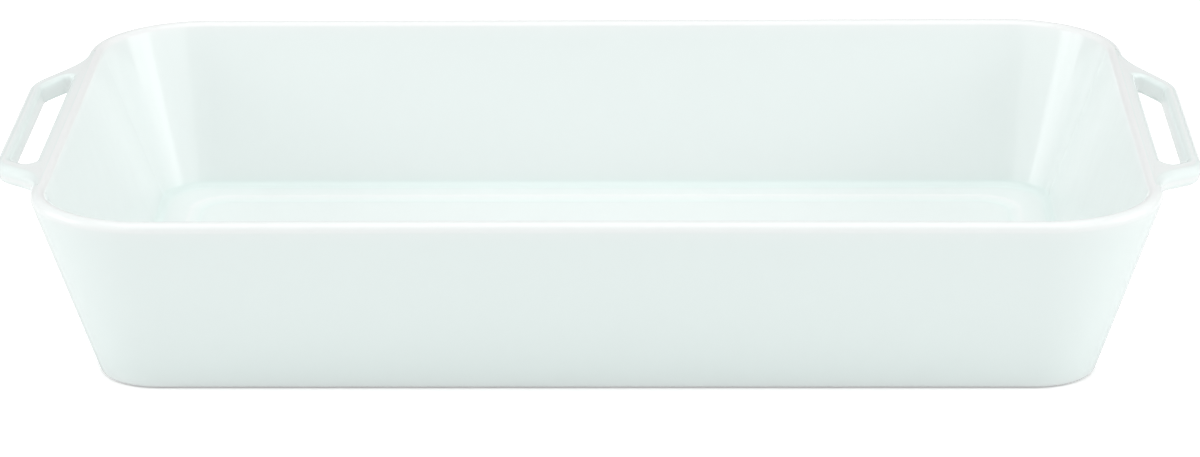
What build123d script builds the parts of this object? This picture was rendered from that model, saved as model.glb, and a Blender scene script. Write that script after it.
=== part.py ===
from build123d import *
import os
from math import atan, cos, degrees, radians, sin, tan

# Lasagna dish of glazed white porcelain. Millimetres, +Z up, length along X, a handle at each end.
# The origin is the middle of the face that the dish stands on.

# basin, its lengths taken over the straight wall lines before any edge is rounded
rim_length = 337.8
rim_width = 217.0
rim_corner_radius = 38.5
dish_height = 58.0
wall_inset = 19.6
rim_thickness = 5.0
rim_crown = 0.15
foot_wall_thickness = 6.2
floor_thickness = 5.2
base_edge_radius = 3.2

# inside of the floor: a cove, a ledge and a shallow panel with softly sloping sides
cove_radius = 7.0
ledge_width = 9.5
panel_depth = 1.0
panel_step_run = 5.0
panel_step_radius = 18.0
panel_corner_radius = 10.0

# standing ring under the basin, wiped free of glaze and ground flat
foot_height = 1.5
foot_width = 5.0
foot_inset = 4.6
foot_edge_chamfer = 0.6

# handles: drooping ears that leave the lip tangentially, each a bow round a finger slot
handle_droop = 10.0
handle_reach = 15.4
handle_thickness = 6.2
handle_side_angle = 40.0
handle_corner_radius = 15.0
handle_root_radius = 24.0
handle_root_clearance = 0.3
handle_root_depth = 0.35
handle_sink = 0.03
handle_lower_chamfer = 1.5
bar_width = 5.0
arm_width = 6.5
slot_clearance = 1.2
slot_corner_radius = 2.2
slot_outer_radius = 8.0
slot_edge_radius = 1.5
slot_lower_chamfer = 0.8

# how much of the bar's underside its two chamfers may take together
lower_chamfer_share = 0.9

# how far a cutter runs past what it cuts
overrun = 3.0

# every outer face leans outwards by one angle, the cavity's walls by a little less
wall_height = dish_height - foot_height
floor_level = foot_height + floor_thickness
cavity_depth = dish_height - floor_level
wall_lean = atan(wall_inset / wall_height)
cavity_inset = tan(wall_lean) * cavity_depth + foot_wall_thickness - rim_thickness
cavity_lean = atan(cavity_inset / cavity_depth)
base_length = rim_length - 2 * wall_inset
base_width = rim_width - 2 * wall_inset
base_corner_radius = rim_corner_radius - wall_inset

# the widest lip rounds that leave the crown between the sharp outer edge and the blunt inner edge
outer_edge_tangent = 1 / tan((radians(90) - wall_lean) / 2)
inner_edge_tangent = 1 / tan((radians(90) + cavity_lean) / 2)
lip_radius = (rim_thickness - rim_crown) / (outer_edge_tangent + inner_edge_tangent)

# an ear's own frame: x outwards and down along the ear, z square to it, the origin on the axis of the
# lip's outer round, so that a flat top at the lip's radius is tangent to the lip
rim_end = rim_length / 2
lip_axis_x = rim_end - lip_radius * outer_edge_tangent
lip_axis_z = dish_height - lip_radius
side_lean = wall_lean - radians(handle_droop)
ear_top = lip_radius - handle_sink
ear_bottom = ear_top - handle_thickness

# plan of an ear in that frame: the wall, the bar and the slot, then the roots, whose arcs run into the
# wall a little below its face and end before the rim's own corners begin
wall_line = (lip_radius + ear_top * sin(side_lean)) / cos(side_lean)
bar_outer = wall_line + handle_reach
bar_inner = bar_outer - bar_width
slot_inner = wall_line + slot_clearance
root_line = wall_line - handle_root_depth
side_slope = tan(radians(handle_side_angle))
root_arc_length = handle_root_radius * tan(radians(handle_side_angle) / 2)
root_half = rim_width / 2 - rim_corner_radius - handle_root_clearance - root_arc_length

# on a steep wall the lower chamfers shrink with the underside that is left between them
bar_underside = bar_width - handle_thickness * tan(side_lean)
lower_chamfers = handle_lower_chamfer + slot_lower_chamfer
lower_chamfer_scale = min(1, lower_chamfer_share * bar_underside / lower_chamfers)

# each bow is joined on where the slot's rounded inner ends are over and the arms run straight
slot_end_radius = slot_corner_radius + slot_edge_radius
arms_start = slot_inner + slot_corner_radius + slot_end_radius * cos(radians(handle_side_angle))
droop = radians(handle_droop)
seam = lip_axis_x + arms_start * cos(droop) + ear_top * sin(droop)


def side_line(x):
    """Half width of an ear at a distance x along it, on its slanted side."""
    return root_half - (x - root_line) / side_slope


def slot_line(x):
    """Half width of the slot, one arm's width inside the ear's slanted side."""
    return side_line(x) - arm_width * (1 + side_slope**2) ** 0.5 / side_slope


def corners_at(plan, x):
    """The corners of a plan at a distance x along the ear."""
    near = slot_clearance / 4
    return plan.vertices().filter_by(lambda corner: abs(corner.X - x) < near)


def spread(start, end, half_width):
    """Plan between two distances along the ear, as wide at each as the given line says."""
    points = [
        (start, -half_width(start)),
        (end, -half_width(end)),
        (end, half_width(end)),
        (start, half_width(start)),
    ]
    return make_face(Polyline(*points, close=True))


def lean_down(plan, level, depth, lean):
    """Block below a plan at a level, whose sides lean inwards on the way down."""
    block = extrude(Pos(0, 0, level - depth) * plan, amount=depth)
    sides = block.faces().filter_by(Axis.Z, reverse=True)
    return draft(sides, Plane.XY.offset(level), -degrees(lean))


def lowest_face(block):
    return block.faces().sort_by(Axis.Z)[0]


def highest_face(block):
    return block.faces().sort_by(Axis.Z)[-1]


def make_outer_form():
    """Outside of the basin, its walls flared and its base softly rounded."""
    rim = RectangleRounded(rim_length, rim_width, rim_corner_radius)
    basin = lean_down(rim, dish_height, wall_height, wall_lean)
    return fillet(lowest_face(basin).edges(), base_edge_radius)


def make_cavity():
    """The room for the food, with a cove all round its floor."""
    mouth = RectangleRounded(
        rim_length - 2 * rim_thickness, rim_width - 2 * rim_thickness, rim_corner_radius - rim_thickness
    )
    room = lean_down(mouth, dish_height, cavity_depth, cavity_lean)
    return fillet(lowest_face(room).edges(), cove_radius)


def make_panel_recess():
    """A shallow tray in the floor, its upper outline one ledge inside the foot of the wall."""
    upper_inset = rim_thickness + cavity_inset + ledge_width
    length = rim_length - 2 * upper_inset
    width = rim_width - 2 * upper_inset
    upper = RectangleRounded(length, width, panel_corner_radius + panel_step_run)
    lower = RectangleRounded(
        length - 2 * panel_step_run, width - 2 * panel_step_run, panel_corner_radius
    )
    bottom = floor_level - panel_depth
    return loft([Pos(0, 0, bottom) * lower, Pos(0, 0, floor_level) * upper], ruled=True)


def soften_panel(bowl):
    """Rounds the upper and the lower edge of the panel's sloping sides."""
    near = panel_depth / 4
    low, high = floor_level - panel_depth, floor_level
    slopes = [
        face
        for face in bowl.faces()
        if abs(face.bounding_box().min.Z - low) < near and abs(face.bounding_box().max.Z - high) < near
    ]
    edges = [edge for face in slopes for edge in face.edges() if edge.bounding_box().size.Z < near]
    return fillet(edges, panel_step_radius)


def make_basin():
    """The moulded basin with its full round lip."""
    bowl = soften_panel(make_outer_form() - make_cavity() - make_panel_recess())
    return fillet(highest_face(bowl).edges(), lip_radius)


def make_plate():
    """Flat plate of an ear in its own frame, with edges rounded like the lip's and slanted roots."""
    band_half = root_half + root_arc_length
    band = spread(-handle_reach, root_line, lambda x: band_half + overrun)
    plan = band + spread(root_line, bar_outer, side_line)
    plan = fillet(corners_at(plan, bar_outer), handle_corner_radius)
    near = handle_root_clearance / 4
    roots = corners_at(plan, root_line).filter_by(lambda corner: abs(abs(corner.Y) - root_half) < near)
    plan = fillet(roots, handle_root_radius)
    plate = lean_down(plan, ear_top, handle_thickness, side_lean)
    top_edges = highest_face(plate).edges()
    outer_edges = top_edges.filter_by(lambda edge: edge.bounding_box().min.X > root_line - near)
    plate = fillet(outer_edges, lip_radius)
    plate = chamfer(lowest_face(plate).edges(), handle_lower_chamfer * lower_chamfer_scale)
    # what lies behind the axis of the lip's round or beyond the roots' arcs is left out
    length = bar_outer + overrun
    return plate & Pos(length / 2, 0, 0) * Box(length, 2 * band_half, 2 * handle_reach)


def make_slot():
    """Cutter for the finger slot, square to the ear."""
    plan = spread(slot_inner, bar_inner, slot_line)
    plan = fillet(corners_at(plan, bar_inner), slot_outer_radius)
    plan = fillet(corners_at(plan, slot_inner), slot_corner_radius)
    return extrude(Pos(0, 0, ear_bottom - overrun) * plan, amount=handle_thickness + 2 * overrun)


def make_ear():
    """The ear at the +X end in its place, the edges of its slot eased."""
    ear = make_plate() - make_slot()
    ear = fillet(highest_face(ear).inner_wires()[0].edges(), slot_edge_radius)
    lower_edges = lowest_face(ear).inner_wires()[0].edges()
    ear = chamfer(lower_edges, slot_lower_chamfer * lower_chamfer_scale)
    return Pos(lip_axis_x, 0, lip_axis_z) * Rot(0, handle_droop, 0) * ear


def make_dish():
    """The whole moulded and luted form, still in one piece."""
    ear = make_ear()
    return make_basin() + ear + mirror(ear, Plane.YZ)


def part_at_seams(dish):
    """The basin between the two seams, and the bow of the handle beyond each of them."""
    tall = 2 * dish_height
    wide = 2 * rim_width
    far = bar_outer + overrun
    middle = Box(2 * seam, wide, tall)
    beyond = Pos(seam + far / 2, 0, 0) * Box(far, wide, tall)
    return dish & middle, dish & beyond, dish & mirror(beyond, Plane.YZ)


def make_foot_ring():
    """Low ring between two rounded rectangles, with eased standing edges."""
    outline = RectangleRounded(
        base_length - 2 * foot_inset, base_width - 2 * foot_inset, base_corner_radius - foot_inset
    )
    hole_inset = foot_inset + foot_width
    hole = RectangleRounded(
        base_length - 2 * hole_inset, base_width - 2 * hole_inset, base_corner_radius - hole_inset
    )
    ring = extrude(outline - hole, amount=foot_height)
    return chamfer(lowest_face(ring).edges(), foot_edge_chamfer)


def main():
    basin, handle_right, handle_left = part_at_seams(make_dish())
    pieces = {
        "basin": basin,
        "handle_right": handle_right,
        "handle_left": handle_left,
        "foot_ring": make_foot_ring(),
    }
    os.makedirs("parts", exist_ok=True)
    for name, piece in pieces.items():
        export_step(piece, f"parts/{name}.step")
        print(name, round(piece.volume), piece.bounding_box().size)


main()
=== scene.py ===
import bpy
import numpy as np
from mathutils import Matrix, Vector


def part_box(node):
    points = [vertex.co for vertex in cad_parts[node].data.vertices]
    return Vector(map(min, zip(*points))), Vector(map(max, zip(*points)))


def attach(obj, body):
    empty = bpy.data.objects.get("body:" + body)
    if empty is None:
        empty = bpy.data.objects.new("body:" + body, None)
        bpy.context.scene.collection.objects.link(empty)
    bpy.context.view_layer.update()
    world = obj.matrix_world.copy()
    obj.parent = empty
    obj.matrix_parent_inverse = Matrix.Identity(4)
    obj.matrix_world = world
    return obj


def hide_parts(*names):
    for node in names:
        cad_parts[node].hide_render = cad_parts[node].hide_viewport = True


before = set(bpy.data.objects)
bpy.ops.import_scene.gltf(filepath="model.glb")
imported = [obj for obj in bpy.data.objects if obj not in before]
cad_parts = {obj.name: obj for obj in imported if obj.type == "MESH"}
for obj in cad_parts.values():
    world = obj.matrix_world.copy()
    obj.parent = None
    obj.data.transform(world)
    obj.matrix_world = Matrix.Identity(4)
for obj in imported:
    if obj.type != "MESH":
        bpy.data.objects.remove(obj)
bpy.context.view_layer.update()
print("frame loaded:", sorted(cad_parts))

# a lasagna dish of glazed white porcelain: a fine mesh for each CAD piece, in the light and the view of
# the photograph; lengths are in metres

# the frame gives the levels, from the standing face at zero to the rim, and the place of the seams
basinLow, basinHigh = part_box("basin")
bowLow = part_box("handle_right")[0]
rimLevel = basinHigh.z
underside = basinLow.z


def roundedCorner(before, corner, after, radius, count):
    # arc that is tangent to both sides of a profile's corner, from the first side to the second: with
    # half the angle between the sides, its centre is radius / sin(half) from the corner and its two
    # ends are radius / tan(half) from it
    before, corner, after = (np.array(p, float) for p in (before, corner, after))
    toBefore = (before - corner) / np.linalg.norm(before - corner)
    toAfter = (after - corner) / np.linalg.norm(after - corner)
    half = np.arccos(np.clip(toBefore @ toAfter, -1, 1)) / 2
    middle = (toBefore + toAfter) / np.linalg.norm(toBefore + toAfter)
    centre = corner + middle * radius / np.sin(half)
    first = corner + toBefore * radius / np.tan(half) - centre
    last = corner + toAfter * radius / np.tan(half) - centre
    startAngle = np.arctan2(first[1], first[0])
    sweep = (np.arctan2(last[1], last[0]) - startAngle + np.pi) % (2 * np.pi) - np.pi
    a = startAngle + sweep * np.linspace(0, 1, count)
    return centre + radius * np.stack([np.cos(a), np.sin(a)], 1)


def joined(stretches, steps):
    # profile through all stretches, each gap between two of them filled with its own number of even steps
    rows = [stretches[0]]
    for stretch, count in zip(stretches[1:], steps):
        t = np.linspace(0, 1, count + 1)[1:-1, None]
        rows.append(rows[-1][-1] * (1 - t) + stretch[0] * t)
        rows.append(stretch)
    return np.vstack(rows)


def sharesBetween(count):
    # even shares of a stretch from 0 to 1, without its two ends
    return np.linspace(0, 1, count + 2)[1:-1]


# how far the fired dish departs from its mould
warp = {
    "length": 0.1689,  # half the rim's length and width, where u and v are 1
    "width": 0.1085,
    "sideDraw": 0.00045,
    "endDraw": 0.00025,
    "drawPower": 2,
    "rimDip": 0.00018,
    "dipPower": 3,
    "floorRise": 0.0003,
    "floorReach": 0.72,  # share of the length and width over which the floor rises
    "risePower": 6,
    "waves": (2.6, 1.9, 0.7),  # radians of the rim's wave along u, along v, and at the middle
}


def kilnWarp(points):
    # what the fire does to a true form, with u, v and h a point's place as shares of the half length,
    # the half width and the height: the walls draw in between the corners, by h to a power, the rim
    # dips along a sine wave, and the floor rises by (1 - u squared)(1 - v squared), u and v over its reach
    u, v, h = points[:, 0] / warp["length"], points[:, 1] / warp["width"], points[:, 2] / rimLevel
    across = np.clip(1 - u**2, 0, 1)
    along = np.clip(1 - v**2, 0, 1)
    reach = warp["floorReach"]
    inner = np.clip(1 - (u / reach)**2, 0, 1) * np.clip(1 - (v / reach)**2, 0, 1)
    alongU, alongV, start = warp["waves"]
    wave = 0.5 + 0.5 * np.sin(alongU * u + alongV * v + start)
    moved = points.copy()
    moved[:, 0] -= warp["endDraw"] * u * np.abs(u) * along * h ** warp["drawPower"]
    moved[:, 1] -= warp["sideDraw"] * v * np.abs(v) * across * h ** warp["drawPower"]
    moved[:, 2] -= warp["rimDip"] * wave * h ** warp["dipPower"]
    moved[:, 2] += warp["floorRise"] * inner * np.clip(1 - h, 0, 1) ** warp["risePower"]
    return moved


# how thick the glaze lies, as a share from 0 to 1
flow = {
    "plain": 0.5,  # on a flat face
    "perCurvature": 0.0022,
    "smoothings": 3,
    "shortestStep": 1e-6,  # closer points count as this far apart
    "tiny": 1e-9,  # keeps a length that is divided by above zero
}


def glazeDepthOf(grid):
    # thin where the profile turns outwards, thick where it turns in: the change of direction between
    # neighbouring steps of each column, over their length, then evened out by quarter, half, quarter
    step = np.diff(grid, axis=0)
    length = np.linalg.norm(step, axis=-1, keepdims=True)
    direction = step / np.maximum(length, flow["tiny"])
    turn = direction[1:] - direction[:-1]
    span = (length[1:] + length[:-1]) / 2
    around = np.roll(grid, -1, 1) - np.roll(grid, 1, 1)
    outward = np.cross(around[1:-1], (step[1:] + step[:-1]))
    outward /= np.maximum(np.linalg.norm(outward, axis=-1, keepdims=True), flow["tiny"])
    curvature = (turn * outward).sum(-1) / np.maximum(span[..., 0], flow["shortestStep"])
    depth = np.full(grid.shape[:2], flow["plain"])
    depth[1:-1] = np.clip(flow["plain"] + curvature * flow["perCurvature"], 0, 1)
    for _ in range(flow["smoothings"]):
        depth[1:-1] = (depth[:-2] + 2 * depth[1:-1] + depth[2:]) / 4
    return depth


def surface(name, grid, depth, closeAlong=False, poles=False, caps=False, flip=False):
    # mesh from a grid of points, rows by columns, closed around each row: quads between neighbours, at
    # both ends a fan to a point on the Z axis or a flat cap with points of its own
    columns = grid.shape[1]
    points = grid.reshape(-1, 3)
    values = depth.reshape(-1)
    index = np.arange(len(points)).reshape(grid.shape[:2])
    index = np.hstack([index, index[:, :1]])
    if closeAlong:
        index = np.vstack([index, index[:1]])
    quads = np.stack([index[:-1, :-1], index[:-1, 1:], index[1:, 1:], index[1:, :-1]], -1)
    faces = quads.reshape(-1, 4).tolist()
    if poles:
        for row in (0, -1):
            edge = index[row]
            fan = np.stack([edge[:-1], edge[1:], np.full(columns, len(points))], 1)
            faces += (fan[:, ::-1] if row == 0 else fan).tolist()
            points = np.vstack([points, (0, 0, grid[row, 0, 2])])
            values = np.append(values, flow["plain"])
    smooth = [True] * len(faces)
    if caps:
        first = len(points) + np.arange(columns)
        faces += [first.tolist(), (first + columns)[::-1].tolist()]
        smooth += [False, False]
        points = np.vstack([points, grid[0], grid[-1]])
        values = np.concatenate([values, depth[0], depth[-1]])
    if flip:
        faces = [face[::-1] for face in faces]
    mesh = bpy.data.meshes.new(name)
    mesh.from_pydata(kilnWarp(points).tolist(), [], faces)
    mesh.polygons.foreach_set("use_smooth", smooth)
    # each point's share of the darker tint: the glaze's pooling in hollows, with painted shade outside and
    # painted light inside and on the ears
    attribute = mesh.attributes.new("glazePoolAndShade", "FLOAT", "POINT")
    attribute.data.foreach_set("value", values.astype(np.float32))
    mesh.update()
    piece = bpy.data.objects.new(name, mesh)
    bpy.context.scene.collection.objects.link(piece)
    return piece


# the basin: rounded rectangles stacked along one profile, from the underside over the lip to the floor
basin = {
    "rimHalfLength": 0.1689,
    "rimHalfWidth": 0.1085,
    "rimCornerRadius": 0.0385,
    "wallInset": 0.0196,
    "rimThickness": 0.005,
    "crown": 0.00015,
    "footWall": 0.0062,
    "floorThickness": 0.0052,
    "baseDrop": 0.00115,  # how far the wall comes down past the underside
    "baseRimWidth": 0.0026,
    "baseEdgeRadius": 0.0018,
    "baseInnerRadius": 0.0006,
    "coveRadius": 0.003,
    "ledgeWidth": 0.0095,
    "panelDepth": 0.001,
    "panelRun": 0.0038,
    "panelStepRadius": 0.006,
    "panelCornerRadius": 0.010,
    "flatInset": 0.034,  # from here inwards the underside is plain
    "ringInset": 0.0242,  # from here inwards the outlines below keep one corner radius
    "outsideShade": 0.2,  # painted shade: the outside, whose walls face down out of the light, takes more of the darker, cooler tint
    # painted light: the lit inside takes less of that tint and shows lighter
    "insideLight": 0.05,
    "cornerRows": (5, 5, 12, 16, 12, 14, 6, 6),  # round each corner of the profile
    "stepsBetween": (6, 1, 1, 30, 1, 28, 6, 4, 4),  # along each straight between two of them
    "undersideRows": 8,
    "floorRows": 13,
    "longSteps": 72,
    "shortSteps": 40,
    "cornerSteps": 30,
}

# every outer face leans by the wall's angle, the cavity's walls by a little less, and the lip's rounds
# are the widest that leave the crown between the sharp outer edge and the blunt inner edge
floorLevel = underside + basin["floorThickness"]
cavityDepth = rimLevel - floorLevel
leanSlope = basin["wallInset"] / (rimLevel - underside)
wallLean = np.arctan(leanSlope)
cavityInset = leanSlope * cavityDepth + basin["footWall"] - basin["rimThickness"]
cavityLean = np.arctan(cavityInset / cavityDepth)
outerTangent = 1 / np.tan((np.pi / 2 - wallLean) / 2)
innerTangent = 1 / np.tan((np.pi / 2 + cavityLean) / 2)
lipRadius = (basin["rimThickness"] - basin["crown"]) / (outerTangent + innerTangent)

# insets from the rim's sharp outer line
cavityFootInset = basin["rimThickness"] + cavityInset
ledgeEndInset = cavityFootInset + basin["ledgeWidth"]
panelInset = ledgeEndInset + basin["panelRun"]


def basinProfile():
    # half section as (inset, height), a line through ten points with each corner between them an arc;
    # the wall comes down past the underside as a low rim that hides the standing ring
    wallEnd = underside - basin["baseDrop"]
    wallFootInset = leanSlope * (rimLevel - wallEnd)
    baseInnerInset = wallFootInset + basin["baseRimWidth"]
    panelLevel = floorLevel - basin["panelDepth"]
    corners = [
        (basin["flatInset"], underside),
        (baseInnerInset + basin["baseDrop"], underside),
        (baseInnerInset, wallEnd),
        (wallFootInset, wallEnd),
        (0, rimLevel),
        (basin["rimThickness"], rimLevel),
        (cavityFootInset, floorLevel),
        (ledgeEndInset, floorLevel),
        (panelInset, panelLevel),
        (panelInset + basin["panelRun"], panelLevel),
    ]
    base, step = basin["baseInnerRadius"], basin["panelStepRadius"]
    radii = [base, base, basin["baseEdgeRadius"], lipRadius, lipRadius, basin["coveRadius"], step, step]
    rounds = [
        roundedCorner(*corners[i:i + 3], radii[i], count)
        for i, count in enumerate(basin["cornerRows"])
    ]
    ends = np.array(corners, float)
    return joined([ends[:1], *rounds, ends[-1:]], basin["stepsBetween"])


def outlineColumns():
    # one turn round a rounded rectangle: shares of the straight half lengths, and the arc's direction
    straights = [(1, -1, 1, 1, 0), (1, 1, -1, 1, 90), (-1, 1, -1, -1, 180), (-1, -1, 1, -1, 270)]
    u, v, angle = [], [], []
    for x0, y0, x1, y1, direction in straights:
        count = basin["shortSteps"] if x0 == x1 else basin["longSteps"]
        t = np.linspace(0, 1, count + 1)[:-1]
        u += [x0 + (x1 - x0) * t, np.full(basin["cornerSteps"], x1)]
        v += [y0 + (y1 - y0) * t, np.full(basin["cornerSteps"], y1)]
        turn = np.linspace(0, 90, basin["cornerSteps"] + 1)[:-1]
        angle += [np.full(count, direction), direction + turn]
    angle = np.radians(np.concatenate(angle))
    return np.concatenate(u), np.concatenate(v), np.cos(angle), np.sin(angle)


def stacked(inset, height, radius):
    # a rounded rectangle for each row: share of the straight part plus radius times the arc's direction
    u, v, c, s = outlineColumns()
    halfLength = (basin["rimHalfLength"] - inset - radius)[:, None]
    halfWidth = (basin["rimHalfWidth"] - inset - radius)[:, None]
    x = u * halfLength + c * radius[:, None]
    y = v * halfWidth + s * radius[:, None]
    z = np.broadcast_to(height[:, None], x.shape)
    return np.stack([x, y, z], -1)


def towardsCentre(row, count):
    # rows that shrink one outline evenly towards its middle, without the outline and the middle
    share = sharesBetween(count)[::-1, None, None]
    middle = np.array([0, 0, row[0, 2]])
    return middle + (row[None] - middle) * share


def makeBasin():
    # a row's corner radius is the rim's less its inset, outside no further than the ring, inside down to
    # the cavity's foot and from there in even steps to the panel's
    profile = basinProfile()
    inset, height = profile[:, 0], profile[:, 1]
    inside = np.arange(len(inset)) > np.argmax(height)
    corner, panelCorner = basin["rimCornerRadius"], basin["panelCornerRadius"]
    below = corner - np.minimum(inset, basin["ringInset"])
    stops = [cavityFootInset, ledgeEndInset, panelInset]
    floor = np.interp(inset, stops, [corner - stops[0], panelCorner + basin["panelRun"], panelCorner])
    radius = np.where(inside, np.where(inset < stops[0], corner - inset, floor), below)
    grid = stacked(inset, height, radius)
    lowRows = towardsCentre(grid[0], basin["undersideRows"])[::-1]
    floorRows = towardsCentre(grid[-1], basin["floorRows"])
    grid = np.concatenate([lowRows, grid, floorRows])
    inside = np.concatenate([np.zeros(len(lowRows)), inside, np.ones(len(floorRows))])[:, None]
    # painted shade outside and painted light inside, added to the glaze's own pooling in hollows
    shadeShift = basin["outsideShade"] * (1 - inside) - basin["insideLight"] * inside
    depth = np.clip(glazeDepthOf(grid) + shadeShift, 0, 1)
    return surface("basin_body", grid, depth, poles=True)


# the ears: a closed tube round each finger slot, its section between the slot and the ear's outline,
# in the ear's own plane: p outwards from the axis of the lip's round, y along the rim, n square to it
ear = {
    "droop": {"right": 11.8, "left": 8.2},  # degrees
    "sideAngle": 40.0,  # degrees
    "reach": 0.0154,
    "thickness": 0.0062,
    "cornerRadius": 0.015,
    "rootRadius": 0.024,
    "rootClearance": 0.0003,
    "barWidth": 0.005,
    "armWidth": 0.0065,
    "slotClearance": 0.0012,
    "slotCornerRadius": 0.0022,
    "slotOuterRadius": 0.008,
    "slotTopRadius": 0.0015,
    "slotLowRadius": 0.0011,
    "lowRadius": 0.0020,
    "hiddenRadius": 0.0016,  # hidden: the stretch of the tube that runs inside the wall
    "hiddenLowRadius": 0.0005,
    "hiddenLean": 0.17,
    "lift": 0.000008,  # how far the ear stands proud of the lip
    "skirt": 0.0006,  # short stretch on the wall beyond each root
    "skirtEdge": 0.00005,
    # painted light: the ears take less of the darker, cooler tint and show lighter
    "earLight": 0.3,
    "luteRadius": 0.0028,  # clay drawn down onto the wall
    "luteReach": 0.0032,
    "luteStart": 0.45,  # share of the thickness, from the top
    "slotEndTurns": (105, 172, 180),  # degrees at which the slot's inner end changes its spacing
    "rowBow": 2,  # power by which the rows beside the roots bow towards the wall
    "barColumns": 26,
    "cornerColumns": 12,
    "armColumns": 14,
    "stubColumns": 8,
    "rootColumns": 12,
    "arcColumns": 22,
    "skirtColumns": 2,
    "hiddenColumns": 28,
    "slotWallRows": 4,
    "slotTopRows": 9,
    "topRows": 11,
    "lipRows": 19,
    "sideRows": 5,
    "lowEdgeRows": 9,
    "undersideRows": 15,
    "slotLowRows": 7,
}

lipAxis = (basin["rimHalfLength"] - lipRadius * outerTangent, rimLevel - lipRadius)
earRound = lipRadius + ear["lift"]
earMiddle = earRound - ear["thickness"] / 2
sideTurn = np.radians(ear["sideAngle"])
sideSlope, sideCos, sideSin = np.tan(sideTurn), np.cos(sideTurn), np.sin(sideTurn)
rootArc = ear["rootRadius"] * np.tan(sideTurn / 2)
rootHalf = basin["rimHalfWidth"] - basin["rimCornerRadius"] - ear["rootClearance"] - rootArc
cornerEndColumn = ear["barColumns"] + ear["cornerColumns"]
seamColumn = cornerEndColumn + ear["armColumns"]
stubEndColumn = seamColumn + ear["stubColumns"]
rootStartColumn = stubEndColumn + ear["rootColumns"]
shownColumns = rootStartColumn + ear["arcColumns"] + ear["skirtColumns"]


def line(start, end, across, count):
    # even steps from a start to an end, without the start, each with the direction across the path
    t = np.linspace(0, 1, count + 1)[1:, None]
    return np.hstack([np.array(start) * (1 - t) + np.array(end) * t, np.repeat([across], count, 0)])


def bend(centre, radius, start, end, count, sign=1):
    # even steps round an arc, without its start: centre plus or minus radius times the direction across
    a = np.radians(np.linspace(start, end, count + 1)[1:])
    ring = np.stack([np.cos(a), np.sin(a)], 1)
    return np.hstack([np.array(centre) + sign * radius * ring, ring])


def onSide(centre, radius):
    # where an arc that comes from the bar ends and the slanted side begins
    return (centre[0] + radius * sideCos, centre[1] + radius * sideSin)


def earPaths(wallLine, seam):
    # half of the loop, from the middle of the bar to the middle of the rim's end, in matching steps:
    # columns are p, y and the direction across, for the slot's line and for the ear's outline
    def sideY(p):
        return rootHalf - (p - wallLine) / sideSlope

    def slotY(p):
        return sideY(p) - ear["armWidth"] / sideSin

    tip = wallLine + ear["reach"]
    barInner = tip - ear["barWidth"]
    slotInner = wallLine + ear["slotClearance"]
    tipRound = ear["cornerRadius"]
    slotRound, endRound = ear["slotOuterRadius"], ear["slotCornerRadius"]
    halfTurn = np.tan(sideTurn / 2)
    endTurn = np.tan(np.radians(90 - ear["sideAngle"] / 2))
    slotCorner = (barInner - slotRound, slotY(barInner) - slotRound * halfTurn)
    earCorner = (tip - tipRound, sideY(tip) - tipRound * halfTurn)
    slotEnd = (slotInner + endRound, slotY(slotInner) - endRound * endTurn)
    out, side, back = (1, 0), (sideCos, sideSin), (-1, 0)

    # slot: bar, outer corner, arm up to the seam, arm beyond it, rounded inner end, rim side
    armSeam = (seam, slotY(seam))
    turns = (ear["sideAngle"], *ear["slotEndTurns"])
    counts = (ear["rootColumns"], ear["arcColumns"], ear["skirtColumns"] + ear["hiddenColumns"])
    slotHalf = np.vstack([
        [[barInner, 0, *out]],
        line((barInner, 0), (barInner, slotCorner[1]), out, ear["barColumns"]),
        bend(slotCorner, slotRound, 0, ear["sideAngle"], ear["cornerColumns"]),
        line(onSide(slotCorner, slotRound), armSeam, side, ear["armColumns"]),
        line(armSeam, onSide(slotEnd, endRound), side, ear["stubColumns"]),
        *(bend(slotEnd, endRound, a, b, count) for a, b, count in zip(turns, turns[1:], counts)),
        line((slotInner, slotEnd[1]), (slotInner, 0), back, ear["barColumns"]),
    ])

    # outline: bar, corner, side up to the seam, side beyond it, root arc, a skirt on the wall, and back
    # to the middle inside the wall
    sideSeam = (seam, sideY(seam))
    rootStart = (wallLine + rootArc * sideSin, rootHalf - rootArc * sideCos)
    stubEnd = (seam + rootStart[0]) / 2
    stub = (stubEnd, sideY(stubEnd))
    rootEnd = rootHalf + rootArc
    rootCentre = (wallLine + ear["rootRadius"], rootEnd)
    skirtEnd = rootEnd + ear["skirt"]
    edge = (wallLine, skirtEnd - ear["skirtEdge"])
    hidden = -ear["hiddenRadius"] * wallLine / earRound
    hiddenStart = (hidden, skirtEnd + ear["skirtEdge"])
    outlineHalf = np.vstack([
        [[tip, 0, *out]],
        line((tip, 0), (tip, earCorner[1]), out, ear["barColumns"]),
        bend(earCorner, tipRound, 0, ear["sideAngle"], ear["cornerColumns"]),
        line(onSide(earCorner, tipRound), sideSeam, side, ear["armColumns"]),
        line(sideSeam, stub, side, ear["stubColumns"]),
        line(stub, rootStart, side, ear["rootColumns"]),
        bend(rootCentre, ear["rootRadius"], ear["sideAngle"], 0, ear["arcColumns"], -1),
        line((wallLine, rootEnd), edge, out, ear["skirtColumns"] - 1),
        line(edge, (wallLine, skirtEnd), out, 1),
        [[*hiddenStart, *back]],
        line(hiddenStart, (hidden, slotEnd[1]), back, ear["hiddenColumns"] - 1),
        line((hidden, slotEnd[1]), (hidden, 0), back, ear["barColumns"]),
    ])
    return slotHalf, outlineHalf


def wholeLoop(half):
    # the columns of a half loop, then the same ones back again without the two that both halves share
    return np.concatenate([half, half[-2:0:-1]])


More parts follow.
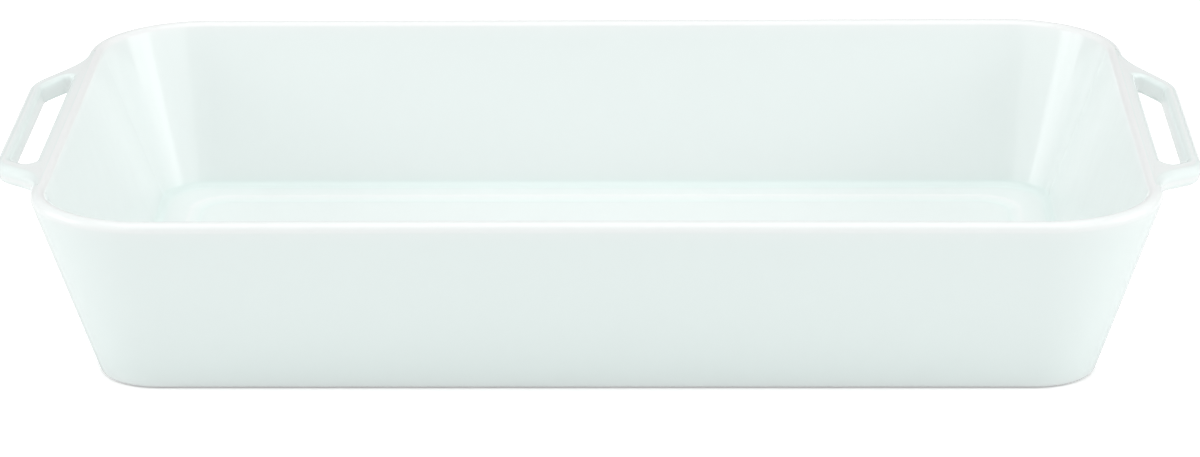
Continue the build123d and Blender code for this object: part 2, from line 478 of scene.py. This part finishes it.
def earGrid(side):
    # the rows of the tube, each a slot's point or an outline's point moved along its direction across,
    # and a height n: on a round, radius times 1 - cos a across and 1 - sin a down
    droop = np.radians(ear["droop"][side])
    sideLean = wallLean - droop
    lipReach = (1 + np.sin(sideLean)) / np.cos(sideLean)
    wallLine = earRound * lipReach
    # the seam stands upright, so its place along the ear depends on the height
    seam = (bowLow.x - lipAxis[0] - earMiddle * np.sin(droop)) / np.cos(droop)
    halves = earPaths(wallLine, seam)
    half = len(halves[0])
    loops = [wholeLoop(path) for path in halves]
    for loop in loops:
        loop[half:, 1::2] *= -1  # y and the direction's y, beyond the middle
    (slotAt, slotOut), (edgeAt, edgeOut) = ((loop[:, :2], loop[:, 2:]) for loop in loops)
    shown = wholeLoop(np.arange(half) <= shownColumns)
    lip = np.where(shown, earRound, ear["hiddenRadius"])[:, None]
    low = np.where(shown, ear["lowRadius"], ear["hiddenLowRadius"])[:, None]
    lean = np.where(shown[:, None], -np.tan(sideLean) * edgeOut, np.array([-ear["hiddenLean"], 0]))
    top = earRound
    bottom = top - ear["thickness"]
    topRadius, slotLow = ear["slotTopRadius"], ear["slotLowRadius"]
    # beside the roots the rows across the ear bow towards the wall, so that they keep inside the arc
    curl = np.interp(np.arange(half), [seamColumn, rootStartColumn], [1, ear["rowBow"]])
    bow = np.stack([wholeLoop(curl), np.ones(len(slotAt))], 1)
    rows = []

    def add(plan, n):
        rows.append(np.hstack([plan, np.broadcast_to(n, (len(plan), 1))]))

    # slot wall, upwards
    for t in np.linspace(0, 1, ear["slotWallRows"], endpoint=False):
        add(slotAt, bottom + slotLow + t * (top - topRadius - bottom - slotLow))
    # round at the slot's upper edge
    for a in np.radians(np.linspace(0, 90, ear["slotTopRows"])):
        add(slotAt + slotOut * topRadius * (1 - np.cos(a)), top - topRadius * (1 - np.sin(a)))
    # flat top, up to where the lip round begins
    innerEnd = slotAt + slotOut * topRadius
    outerEnd = edgeAt - edgeOut * lip * lipReach
    for t in sharesBetween(ear["topRows"]):
        add(outerEnd + (innerEnd - outerEnd) * (1 - t) ** bow, top)
    # lip round
    for a in np.linspace(np.pi / 2, -sideLean, ear["lipRows"]):
        add(outerEnd + edgeOut * lip * np.cos(a), top - lip * (1 - np.sin(a)))
    # leaning side
    sideTop = outerEnd + edgeOut * lip * np.cos(sideLean)
    sideTopN = top - lip * (1 + np.sin(sideLean))
    lowCentreN = bottom + low
    sideEndN = lowCentreN - low * np.sin(sideLean)
    for t in sharesBetween(ear["sideRows"]):
        n = sideTopN * (1 - t) + sideEndN * t
        add(sideTop + lean * (sideTopN - n), n)
    # round at the lower edge
    lowCentre = sideTop + lean * (sideTopN - sideEndN) - edgeOut * low * np.cos(sideLean)
    for a in np.linspace(-sideLean, -np.pi / 2, ear["lowEdgeRows"]):
        add(lowCentre + edgeOut * low * np.cos(a), lowCentreN + low * np.sin(a))
    # underside, back to the slot
    innerLow = slotAt + slotOut * slotLow
    for t in sharesBetween(ear["undersideRows"]):
        add(lowCentre + (innerLow - lowCentre) * t ** bow, bottom)
    # round at the slot's lower edge
    for a in np.radians(np.linspace(90, 0, ear["slotLowRows"])):
        add(slotAt + slotOut * slotLow * (1 - np.cos(a)), bottom + slotLow * (1 - np.sin(a)))
    # the last row is the first one again
    grid = luted(np.stack(rows[:-1], 1), wallLine, sideLean)
    return drooped(seamUpright(grid, droop, half), droop)


def luted(grid, wallLine, sideLean):
    # clay drawn down onto the wall: in the lower part of the ear, its underside sinks along the wall by
    # a quarter round as it comes near the wall, eased in by ramp squared times (3 - 2 ramp)
    depth = earRound - grid[..., 2]
    away = grid[..., 0] - (wallLine - np.tan(sideLean) * depth)
    near = np.clip(1 - away / ear["luteReach"], 0, 1)
    drop = ear["luteRadius"] * (1 - np.sqrt(np.clip(1 - near**2, 0, 1)))
    start = ear["luteStart"] * ear["thickness"]
    ramp = np.clip((depth - start) / (ear["thickness"] - start), 0, 1)
    drop = drop * ramp**2 * (3 - 2 * ramp)
    out = grid.copy()
    out[..., 0] -= np.tan(sideLean) * drop
    out[..., 2] -= drop
    return out


def seamUpright(grid, droop, half):
    # near the seam the points slide along the straight arms, by height times the droop's tangent, so
    # that the seam's own row stands in one upright plane
    stops = [cornerEndColumn, seamColumn, stubEndColumn]
    weight = wholeLoop(np.interp(np.arange(half), stops, [0, 1, 0]))[:, None]
    slide = (earMiddle - grid[..., 2]) * np.tan(droop) * weight
    out = grid.copy()
    out[..., 0] += slide
    out[..., 1] -= np.sign(grid[..., 1]) * slide / sideSlope
    return out


def drooped(grid, droop):
    # turns the ear's plane down about the axis of the lip's round
    p, n = grid[..., 0], grid[..., 2]
    x = lipAxis[0] + p * np.cos(droop) + n * np.sin(droop)
    z = lipAxis[1] - p * np.sin(droop) + n * np.cos(droop)
    return np.stack([x, grid[..., 1], z], -1)


def makeEars():
    # each ear's loop is cut at its two seams into a bow and the roots, and x changes sign at the left
    made = {}
    for side, sign in (("right", 1), ("left", -1)):
        grid = earGrid(side)
        # the glaze's own pooling in hollows, less the ears' painted light
        depth = np.clip(glazeDepthOf(np.swapaxes(grid, 0, 1)).T - ear["earLight"], 0, 1)
        bowColumns = np.arange(-seamColumn, seamColumn + 1) % len(grid)
        rootColumns = np.arange(seamColumn, len(grid) - seamColumn + 1)
        turned = grid * np.array([sign, 1, 1])
        for name, picked in (("handle_bow_" + side, bowColumns), ("ear_root_" + side, rootColumns)):
            made[name] = surface(name, turned[picked], depth[picked], caps=True, flip=sign > 0)
    return made


foot = {
    "height": 0.0015,
    "width": 0.005,
    "inset": 0.0046,
    "edgeRadius": 0.0006,
    "sunk": 0.0002,  # how far the ring goes into the underside
    "edgeRows": 7,
    "stepsBetween": (3, 5, 3),
    "groundRows": 5,
}


def makeFootRing():
    # the ring's section, outer side up, top, inner side down and the ground face, carried round
    outer = basin["wallInset"] + foot["inset"]
    inner = outer + foot["width"]
    top = foot["height"] + foot["sunk"]
    corners = [(inner, 0), (outer, 0), (outer, top), (inner, top), (inner, 0), (outer, 0)]
    stretches = [
        roundedCorner(*corners[:3], foot["edgeRadius"], foot["edgeRows"]),
        np.array(corners[2:3]),
        np.array(corners[3:4]),
        roundedCorner(*corners[3:], foot["edgeRadius"], foot["edgeRows"]),
    ]
    profile = joined(stretches, foot["stepsBetween"])
    ground = np.linspace(profile[-1], profile[0], foot["groundRows"] + 2)[1:-1]
    profile = np.vstack([profile, ground])
    inset, height = profile[:, 0], profile[:, 1]
    grid = stacked(inset, height, basin["rimCornerRadius"] - inset)
    return surface("standing_ring", grid, np.full(grid.shape[:2], flow["plain"]), closeAlong=True)


pieces = {"basin_body": makeBasin(), **makeEars(), "standing_ring": makeFootRing()}
print("pieces:", {name: len(piece.data.polygons) for name, piece in pieces.items()})


def newMaterial(name):
    # a material with its nodes and links, and the shader that they lead to
    material = bpy.data.materials.new(name)
    material.use_nodes = True
    nodes, links = material.node_tree.nodes, material.node_tree.links
    return material, nodes, links, nodes["Principled BSDF"]


def noiseOf(nodes, links, scale, detail):
    # noise in the object's own coordinates, 0 to 1
    place = nodes.new("ShaderNodeTexCoord")
    noise = nodes.new("ShaderNodeTexNoise")
    noise.inputs["Scale"].default_value = scale
    noise.inputs["Detail"].default_value = detail
    links.new(place.outputs["Object"], noise.inputs["Vector"])
    return noise.outputs["Fac"]


def mixOf(nodes, links, share, first, second):
    # first colour times (1 - share) plus second colour times share
    mix = nodes.new("ShaderNodeMix")
    mix.data_type = "RGBA"
    mix.inputs["A"].default_value = first
    mix.inputs["B"].default_value = second
    links.new(share, mix.inputs["Factor"])
    return mix.outputs["Result"]


def bumpOf(nodes, links, height, distance):
    # tips the normal by the slope of a height from 0 to 1 times a distance
    bump = nodes.new("ShaderNodeBump")
    bump.inputs["Distance"].default_value = distance
    links.new(height, bump.inputs["Height"])
    return bump


glaze = {
    # the lighter tint is glaze lying thin on edges and, as painted light, the inside and the ears; the
    # darker, cooler tint is glaze pooled in hollows and, as painted shade, the outside
    "thinAndLit": (0.890, 0.907, 0.903, 1),
    "pooledAndShaded": (0.785, 0.888, 0.866, 1),
    "roughness": (0.10, 0.17),
    "refraction": 1.5,
    "peelScale": 55,
    "grainScale": 900,
    "noiseDetail": 2,
    "peelHeight": 0.00006,
    "grainHeight": 0.000003,
}


def glazeMaterial():
    # tint from each point's glaze pooling together with painted shade and painted light, roughness from a
    # slow noise, and two bumps
    material, nodes, links, shader = newMaterial("white_glaze_fired")
    peel = noiseOf(nodes, links, glaze["peelScale"], glaze["noiseDetail"])
    grain = noiseOf(nodes, links, glaze["grainScale"], glaze["noiseDetail"])
    thickness = nodes.new("ShaderNodeAttribute")
    thickness.attribute_name = "glazePoolAndShade"
    tint = mixOf(nodes, links, thickness.outputs["Fac"], glaze["thinAndLit"], glaze["pooledAndShaded"])
    links.new(tint, shader.inputs["Base Color"])
    gloss = nodes.new("ShaderNodeMapRange")
    gloss.inputs["To Min"].default_value = glaze["roughness"][0]
    gloss.inputs["To Max"].default_value = glaze["roughness"][1]
    links.new(peel, gloss.inputs["Value"])
    links.new(gloss.outputs["Result"], shader.inputs["Roughness"])
    wide = bumpOf(nodes, links, peel, glaze["peelHeight"])
    fine = bumpOf(nodes, links, grain, glaze["grainHeight"])
    links.new(wide.outputs["Normal"], fine.inputs["Normal"])
    links.new(fine.outputs["Normal"], shader.inputs["Normal"])
    shader.inputs["IOR"].default_value = glaze["refraction"]
    return material


clay = {
    "dark": (0.80, 0.77, 0.72, 1),
    "light": (0.88, 0.86, 0.82, 1),
    "roughness": 0.85,
    "grainScale": 1400,
    "grainDetail": 4,
    "grainHeight": 0.00003,
}


def bareMaterial():
    # ground clay: one fine noise gives both its colour and its bump
    material, nodes, links, shader = newMaterial("bare_porcelain_ground")
    grain = noiseOf(nodes, links, clay["grainScale"], clay["grainDetail"])
    colour = mixOf(nodes, links, grain, clay["dark"], clay["light"])
    links.new(colour, shader.inputs["Base Color"])
    bump = bumpOf(nodes, links, grain, clay["grainHeight"])
    links.new(bump.outputs["Normal"], shader.inputs["Normal"])
    shader.inputs["Roughness"].default_value = clay["roughness"]
    return material


whiteGlaze = glazeMaterial()
barePorcelain = bareMaterial()
standsFor = {
    "basin_body": "basin",
    "ear_root_right": "basin",
    "ear_root_left": "basin",
    "handle_bow_right": "handle_right",
    "handle_bow_left": "handle_left",
    "standing_ring": "foot_ring",
}
for name, piece in pieces.items():
    bare = name == "standing_ring"
    piece.data.materials.append(barePorcelain if bare else whiteGlaze)
    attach(piece, "root")
    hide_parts(standsFor[name])
print("finishes on")


studio = {
    "floorHalf": 6.0,
    "floorColour": (0.93, 0.93, 0.93, 1),
    "floorRoughness": 0.9,
    "floorGlow": (0.27, 0.02),  # what the camera alone sees, and what all rays see
    "world": 0.50,
    "worldSeen": 1.0,  # the same for the camera alone
    # each softbox: its place, the point it faces, its size and its power
    "softboxes": {
        "top_softbox": ((0, -0.3, 1.3), (0, 0, 0), (1.6, 1.4), 9.0),
        "left_softbox": ((-1.4, -0.95, 0.75), (0, 0, 0.03), (2.0, 0.9), 4.2),
        "right_softbox": ((1.4, -0.95, 0.75), (0, 0, 0.03), (2.0, 0.9), 5.2),
        "left_end_softbox": ((-1.5, 0, 0.5), (0, 0, 0.03), (0.9, 0.8), 4.5),
        "right_end_softbox": ((1.5, 0, 0.5), (0, 0, 0.03), (0.9, 0.8), 4.5),
    },
}


def makeFloor():
    # a pale plane whose glow is the first value for camera rays plus the second for all
    half = studio["floorHalf"]
    corners = [(-half, -half, 0), (half, -half, 0), (half, half, 0), (-half, half, 0)]
    mesh = bpy.data.meshes.new("floor")
    mesh.from_pydata(corners, [], [(0, 1, 2, 3)])
    floor = bpy.data.objects.new("floor", mesh)
    bpy.context.scene.collection.objects.link(floor)
    material, nodes, links, shader = newMaterial("pale_floor")
    shader.inputs["Base Color"].default_value = studio["floorColour"]
    shader.inputs["Roughness"].default_value = studio["floorRoughness"]
    shader.inputs["Specular IOR Level"].default_value = 0
    seen = nodes.new("ShaderNodeLightPath")
    glow = nodes.new("ShaderNodeMath")
    glow.operation = "MULTIPLY_ADD"
    glow.inputs[1].default_value = studio["floorGlow"][0]
    glow.inputs[2].default_value = studio["floorGlow"][1]
    links.new(seen.outputs["Is Camera Ray"], glow.inputs[0])
    links.new(glow.outputs["Value"], shader.inputs["Emission Strength"])
    shader.inputs["Emission Color"].default_value = (1, 1, 1, 1)
    mesh.materials.append(material)


def makeWorld():
    # even white light, stronger where the camera looks straight at it
    world = bpy.data.worlds.new("studio")
    world.use_nodes = True
    nodes, links = world.node_tree.nodes, world.node_tree.links
    background = nodes["Background"]
    background.inputs["Color"].default_value = (1, 1, 1, 1)
    seen = nodes.new("ShaderNodeLightPath")
    strength = nodes.new("ShaderNodeMapRange")
    strength.inputs["To Min"].default_value = studio["world"]
    strength.inputs["To Max"].default_value = studio["worldSeen"]
    links.new(seen.outputs["Is Camera Ray"], strength.inputs["Value"])
    links.new(strength.outputs["Result"], background.inputs["Strength"])
    bpy.context.scene.world = world


def softbox(name, place, target, size, power):
    # a rectangular lamp at a place, facing a target
    data = bpy.data.lights.new(name, "AREA")
    data.shape = "RECTANGLE"
    data.size, data.size_y = size
    data.energy = power
    lamp = bpy.data.objects.new(name, data)
    lamp.location = place
    lamp.rotation_euler = (Vector(target) - Vector(place)).to_track_quat("-Z", "Y").to_euler()
    bpy.context.scene.collection.objects.link(lamp)


makeFloor()
makeWorld()
for name, values in studio["softboxes"].items():
    softbox(name, *values)

# the camera was fitted to the photograph's rim, walls and base line
camera = {
    "lens": 140.36,  # millimetres, like the sensor's width
    "sensorWidth": 36,
    "distance": 1.4621,
    "targetHeight": 0.0309,
    "azimuth": 1.19,  # this angle and the next four are in degrees
    "elevation": 18.29,
    "yaw": -0.01,
    "pitch": -0.39,
    "roll": -0.43,
    "clipStart": 0.05,
}


def rotated(first, second, angle):
    # both turned in their plane: first cos a + second sin a, and second cos a - first sin a
    return (
        first * np.cos(angle) + second * np.sin(angle),
        second * np.cos(angle) - first * np.sin(angle),
    )


def makeCamera():
    # stands at the distance from a point on the Z axis, in the direction of azimuth and elevation, faces
    # that point, and is then turned by yaw, pitch and roll
    angles = ("azimuth", "elevation", "yaw", "pitch", "roll")
    az, el, yaw, pitch, roll = np.radians([camera[key] for key in angles])
    back = np.array([np.sin(az) * np.cos(el), -np.cos(az) * np.cos(el), np.sin(el)])
    forward = -back
    right = np.cross(forward, (0, 0, 1))
    right /= np.linalg.norm(right)
    up = np.cross(right, forward)
    forward, right = rotated(forward, right, yaw)
    forward, up = rotated(forward, up, pitch)
    right, up = rotated(right, up, roll)
    place = np.array([0, 0, camera["targetHeight"]]) + back * camera["distance"]
    axes = np.stack([right, up, -forward], 1)
    data = bpy.data.cameras.new("photo_view")
    data.lens = camera["lens"]
    data.sensor_width = camera["sensorWidth"]
    data.clip_start = camera["clipStart"]
    lens = bpy.data.objects.new("photo_view", data)
    lens.matrix_world = Matrix.Translation(Vector(place)) @ Matrix(axes.tolist()).to_4x4()
    bpy.context.scene.collection.objects.link(lens)
    bpy.context.scene.camera = lens


makeCamera()
bpy.context.scene.view_settings.view_transform = "Standard"
print("studio ready")
